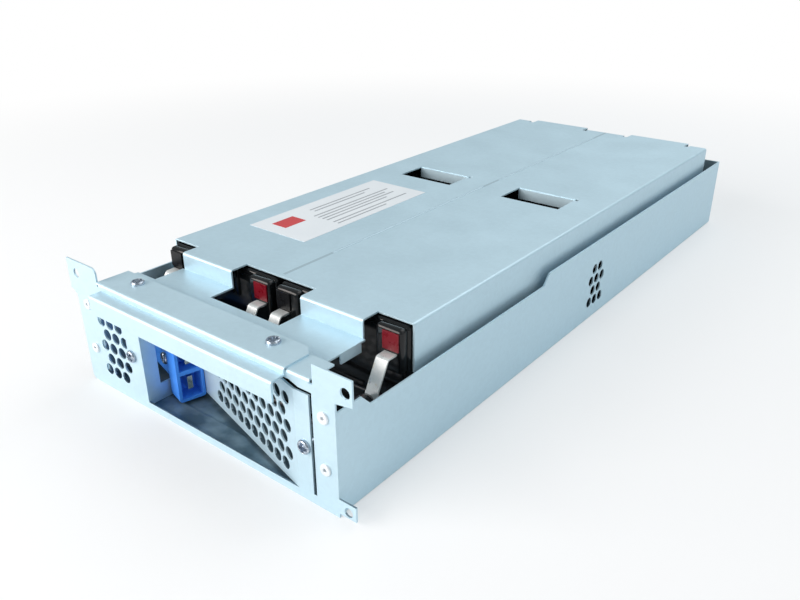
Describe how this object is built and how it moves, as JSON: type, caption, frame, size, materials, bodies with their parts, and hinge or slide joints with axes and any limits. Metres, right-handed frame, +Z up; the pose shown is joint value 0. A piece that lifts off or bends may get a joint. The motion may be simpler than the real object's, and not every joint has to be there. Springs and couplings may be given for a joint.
{
  "type": "battery cartridge",
  "caption": "Flat sheet metal battery cartridge for a rack power supply: vented tray and cover over sealed blocks, front plate with a slanted perforated panel and a two-pole connector.",
  "frame": {"origin": "bottom centre: under the middle of the cartridge, on the surface that it stands on", "axes": "+Z up, -Y out of the front plate, +Y towards the rear wall, X across"},
  "size_m": [0.2154, 0.509, 0.077],
  "materials": {
    "galvanised_sheet": "galvanised steel sheet, fine spangle, satin",
    "rivet_metal": "bright aluminium blind rivet",
    "screw_steel": "zinc plated steel",
    "connector_blue": "moulded blue plastic",
    "contact_silver": "silver plated copper",
    "block_case": "moulded black plastic",
    "block_lid": "moulded dark grey plastic",
    "pad_red": "red marking pad",
    "pad_black": "black marking pad",
    "tinned_metal": "tin plated copper",
    "lead_black": "black insulation",
    "lead_red": "red insulation",
    "label_paper": "blank white film label"
  },
  "bodies": {
    "root": {"tray": "galvanised_sheet", "front_plate": "galvanised_sheet", "connector_bracket": "galvanised_sheet", "top_cover": "galvanised_sheet", "bezel_bracket": "galvanised_sheet", "front_rivets": "rivet_metal", "bezel_screws": "screw_steel", "front_screws": "screw_steel", "connector_screw": "screw_steel", "connector_housing": "connector_blue", "connector_contacts": "contact_silver", "battery_case_1": "block_case", "battery_case_2": "block_case", "battery_case_3": "block_case", "battery_case_4": "block_case", "battery_case_5": "block_case", "battery_case_6": "block_case", "battery_case_7": "block_case", "battery_case_8": "block_case", "battery_lid_1": "block_lid", "battery_lid_2": "block_lid", "battery_lid_3": "block_lid", "battery_lid_4": "block_lid", "battery_lid_5": "block_lid", "battery_lid_6": "block_lid", "battery_lid_7": "block_lid", "battery_lid_8": "block_lid", "positive_pads": "pad_red", "negative_pads": "pad_black", "terminal_blades": "tinned_metal", "front_strap_1": "tinned_metal", "front_strap_2": "tinned_metal", "front_strap_3": "tinned_metal", "front_strap_4": "tinned_metal", "black_lead": "lead_black", "red_lead": "lead_red", "row_lead_1": "lead_black", "row_lead_2": "lead_black", "row_lead_3": "lead_black", "row_lead_4": "lead_red", "row_lead_5": "lead_red", "row_lead_6": "lead_red", "rear_link": "tinned_metal", "label": "label_paper"}
  },
  "joints": []
}
